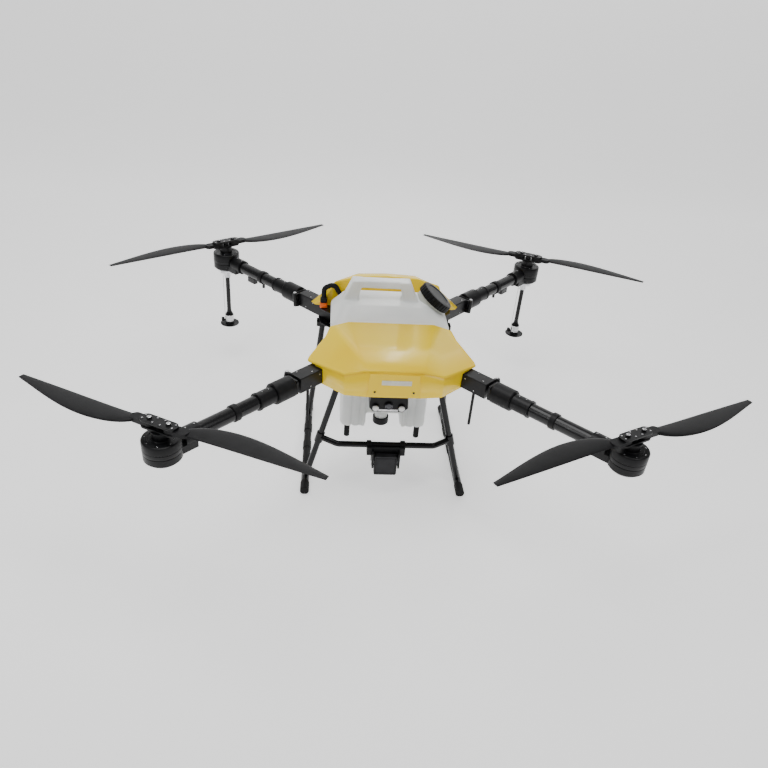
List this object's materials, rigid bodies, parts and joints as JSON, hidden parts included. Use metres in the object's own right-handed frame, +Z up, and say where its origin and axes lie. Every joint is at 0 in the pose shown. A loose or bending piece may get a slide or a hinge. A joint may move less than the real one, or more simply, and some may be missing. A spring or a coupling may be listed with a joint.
{
  "type": "agricultural spray drone",
  "caption": "Folding spray drone with a lift-out liquid tank, faceted yellow covers, tube landing skids and rotary spray discs under its rear motors.",
  "frame": {"origin": "on the ground, midway between the skids and below the middle of the four motors", "axes": "+Z up, the nose faces -Y, +X to the right of someone looking at the nose from the front"},
  "size_m": [1.9366, 1.6001, 0.618],
  "materials": {
    "black_metal": "black anodised, satin",
    "carbon": "woven carbon fibre, clear coated",
    "steel": "brushed",
    "yellow_plastic": "gloss",
    "white_plastic": "translucent, satin",
    "black_plastic": "satin",
    "dark_grey_plastic": "fine texture",
    "blade_plastic": "matt, fine grain",
    "cable_rubber": "satin",
    "orange_plastic": "satin",
    "rubber": "matt"
  },
  "bodies": {
    "frame": {"bottom_plate": "carbon", "top_plate": "carbon", "arm_roots": "black_metal", "hinge_pins": "steel", "front_cover": "yellow_plastic", "front_skirt": "yellow_plastic", "rear_cover": "yellow_plastic", "battery": "black_plastic", "flight_controller": "black_plastic", "pump": "black_plastic", "camera": "black_plastic", "antennas": "black_plastic", "battery_lead": "cable_rubber", "power_connector": "orange_plastic", "landing_legs": "black_metal", "skids": "black_metal", "skid_rubbers": "rubber", "crossbar": "black_metal", "radar_bracket": "black_plastic"},
    "front_left_arm": {"front_left_arm_socket": "black_metal", "front_left_arm_tube": "carbon", "front_left_motor_mount": "black_metal"},
    "front_left_nut": {"front_left_lock_nut": "black_plastic"},
    "front_left_rotor": {"front_left_motor_bell": "black_metal", "front_left_prop_hub": "black_metal"},
    "front_left_blade_a": {"front_left_blade_a": "blade_plastic"},
    "front_left_blade_b": {"front_left_blade_b": "blade_plastic"},
    "front_right_arm": {"front_right_arm_socket": "black_metal", "front_right_arm_tube": "carbon", "front_right_motor_mount": "black_metal"},
    "front_right_nut": {"front_right_lock_nut": "black_plastic"},
    "front_right_rotor": {"front_right_motor_bell": "black_metal", "front_right_prop_hub": "black_metal"},
    "front_right_blade_a": {"front_right_blade_a": "blade_plastic"},
    "front_right_blade_b": {"front_right_blade_b": "blade_plastic"},
    "rear_left_arm": {"rear_left_arm_socket": "black_metal", "rear_left_arm_tube": "carbon", "rear_left_motor_mount": "black_metal", "left_nozzle_hanger": "black_plastic"},
    "rear_left_nut": {"rear_left_lock_nut": "black_plastic"},
    "rear_left_rotor": {"rear_left_motor_bell": "black_metal", "rear_left_prop_hub": "black_metal"},
    "rear_left_blade_a": {"rear_left_blade_a": "blade_plastic"},
    "rear_left_blade_b": {"rear_left_blade_b": "blade_plastic"},
    "rear_right_arm": {"rear_right_arm_socket": "black_metal", "rear_right_arm_tube": "carbon", "rear_right_motor_mount": "black_metal", "right_nozzle_hanger": "black_plastic"},
    "rear_right_nut": {"rear_right_lock_nut": "black_plastic"},
    "rear_right_rotor": {"rear_right_motor_bell": "black_metal", "rear_right_prop_hub": "black_metal"},
    "rear_right_blade_a": {"rear_right_blade_a": "blade_plastic"},
    "rear_right_blade_b": {"rear_right_blade_b": "blade_plastic"},
    "left_disc": {"left_nozzle_disc": "black_plastic"},
    "right_disc": {"right_nozzle_disc": "black_plastic"},
    "tank": {"tank": "white_plastic", "tank_feet": "black_plastic"},
    "filler_cap": {"tank_cap": "black_plastic"},
    "outlet_cap": {"outlet_cap": "black_plastic"},
    "radar": {"radar": "dark_grey_plastic"}
  },
  "joints": [
    {"name": "front_left_fold", "type": "hinge", "parent": "frame", "child": "front_left_arm", "pos_m": [-0.30194, -0.25527, 0.426], "axis": [-0.1228, -0.1228, -0.9848], "range_deg": [0, 128]},
    {"name": "front_left_nut_slide", "type": "slide", "parent": "front_left_arm", "child": "front_left_nut", "axis": [-0.7071, -0.7071, 0], "range_m": [0, 0.045]},
    {"name": "front_left_spin", "type": "hinge", "parent": "front_left_arm", "child": "front_left_rotor", "pos_m": [-0.576, -0.576, 0.45], "axis": [0, 0, 1], "continuous": true},
    {"name": "front_left_blade_a_fold", "type": "hinge", "parent": "front_left_rotor", "child": "front_left_blade_a", "pos_m": [-0.60042, -0.56334, 0.491], "axis": [0, 0, 1], "range_deg": [-115, 0]},
    {"name": "front_left_blade_b_fold", "type": "hinge", "parent": "front_left_rotor", "child": "front_left_blade_b", "pos_m": [-0.55158, -0.58866, 0.491], "axis": [0, 0, 1], "range_deg": [0, 54]},
    {"name": "front_right_fold", "type": "hinge", "parent": "frame", "child": "front_right_arm", "pos_m": [0.30194, -0.25527, 0.426], "axis": [-0.1228, 0.1228, 0.9848], "range_deg": [0, 128]},
    {"name": "front_right_nut_slide", "type": "slide", "parent": "front_right_arm", "child": "front_right_nut", "axis": [0.7071, -0.7071, 0], "range_m": [0, 0.045]},
    {"name": "front_right_spin", "type": "hinge", "parent": "front_right_arm", "child": "front_right_rotor", "pos_m": [0.576, -0.576, 0.45], "axis": [0, 0, 1], "continuous": true},
    {"name": "front_right_blade_a_fold", "type": "hinge", "parent": "front_right_rotor", "child": "front_right_blade_a", "pos_m": [0.55126, -0.58801, 0.491], "axis": [0, 0, -1], "range_deg": [-109, 0]},
    {"name": "front_right_blade_b_fold", "type": "hinge", "parent": "front_right_rotor", "child": "front_right_blade_b", "pos_m": [0.60074, -0.56399, 0.491], "axis": [0, 0, -1], "range_deg": [0, 66]},
    {"name": "rear_left_fold", "type": "hinge", "parent": "frame", "child": "rear_left_arm", "pos_m": [-0.30194, 0.25527, 0.426], "axis": [-0.0862, 0.0862, 0.9925], "range_deg": [0, 118]},
    {"name": "rear_left_nut_slide", "type": "slide", "parent": "rear_left_arm", "child": "rear_left_nut", "axis": [-0.7071, 0.7071, 0], "range_m": [0, 0.045]},
    {"name": "rear_left_spin", "type": "hinge", "parent": "rear_left_arm", "child": "rear_left_rotor", "pos_m": [-0.576, 0.576, 0.45], "axis": [0, 0, 1], "continuous": true},
    {"name": "rear_left_blade_a_fold", "type": "hinge", "parent": "rear_left_rotor", "child": "rear_left_blade_a", "pos_m": [-0.59842, 0.56007, 0.491], "axis": [0, 0, 1], "range_deg": [0, 95]},
    {"name": "rear_left_blade_b_fold", "type": "hinge", "parent": "rear_left_rotor", "child": "rear_left_blade_b", "pos_m": [-0.55358, 0.59193, 0.491], "axis": [0, 0, 1], "range_deg": [-67, 0]},
    {"name": "rear_right_fold", "type": "hinge", "parent": "frame", "child": "rear_right_arm", "pos_m": [0.30194, 0.25527, 0.426], "axis": [-0.0862, -0.0862, -0.9925], "range_deg": [0, 118]},
    {"name": "rear_right_nut_slide", "type": "slide", "parent": "rear_right_arm", "child": "rear_right_nut", "axis": [0.7071, 0.7071, 0], "range_m": [0, 0.045]},
    {"name": "rear_right_spin", "type": "hinge", "parent": "rear_right_arm", "child": "rear_right_rotor", "pos_m": [0.576, 0.576, 0.45], "axis": [0, 0, 1], "continuous": true},
    {"name": "rear_right_blade_a_fold", "type": "hinge", "parent": "rear_right_rotor", "child": "rear_right_blade_a", "pos_m": [0.55128, 0.58805, 0.491], "axis": [0, 0, -1], "range_deg": [0, 95]},
    {"name": "rear_right_blade_b_fold", "type": "hinge", "parent": "rear_right_rotor", "child": "rear_right_blade_b", "pos_m": [0.60072, 0.56395, 0.491], "axis": [0, 0, -1], "range_deg": [-67, 0]},
    {"name": "left_disc_spin", "type": "hinge", "parent": "rear_left_arm", "child": "left_disc", "pos_m": [-0.576, 0.576, 0.16], "axis": [0, 0, 1], "continuous": true},
    {"name": "right_disc_spin", "type": "hinge", "parent": "rear_right_arm", "child": "right_disc", "pos_m": [0.576, 0.576, 0.16], "axis": [0, 0, 1], "continuous": true},
    {"name": "tank_lift", "type": "slide", "parent": "frame", "child": "tank", "axis": [0, 0, 1], "range_m": [0, 0.3]},
    {"name": "cap_pull", "type": "slide", "parent": "tank", "child": "filler_cap", "axis": [0.6157, 0, 0.788], "range_m": [0, 0.06]},
    {"name": "outlet_cap_pull", "type": "slide", "parent": "tank", "child": "outlet_cap", "axis": [0, 0, -1], "range_m": [0, 0.03]},
    {"name": "radar_tilt", "type": "hinge", "parent": "frame", "child": "radar", "pos_m": [0, -0.247, 0.121], "axis": [1, 0, 0], "range_deg": [-15, 15]}
  ],
  "couplings": [
    {"joint": "front_left_blade_a_fold", "follows": "front_left_fold", "ratio": -0.88},
    {"joint": "front_left_blade_b_fold", "follows": "front_left_fold", "ratio": 0.4},
    {"joint": "front_right_blade_a_fold", "follows": "front_right_fold", "ratio": -0.83},
    {"joint": "front_right_blade_b_fold", "follows": "front_right_fold", "ratio": 0.5},
    {"joint": "rear_left_blade_a_fold", "follows": "rear_left_fold", "ratio": 0.78},
    {"joint": "rear_left_blade_b_fold", "follows": "rear_left_fold", "ratio": -0.55},
    {"joint": "rear_right_blade_a_fold", "follows": "rear_right_fold", "ratio": 0.78},
    {"joint": "rear_right_blade_b_fold", "follows": "rear_right_fold", "ratio": -0.55}
  ]
}
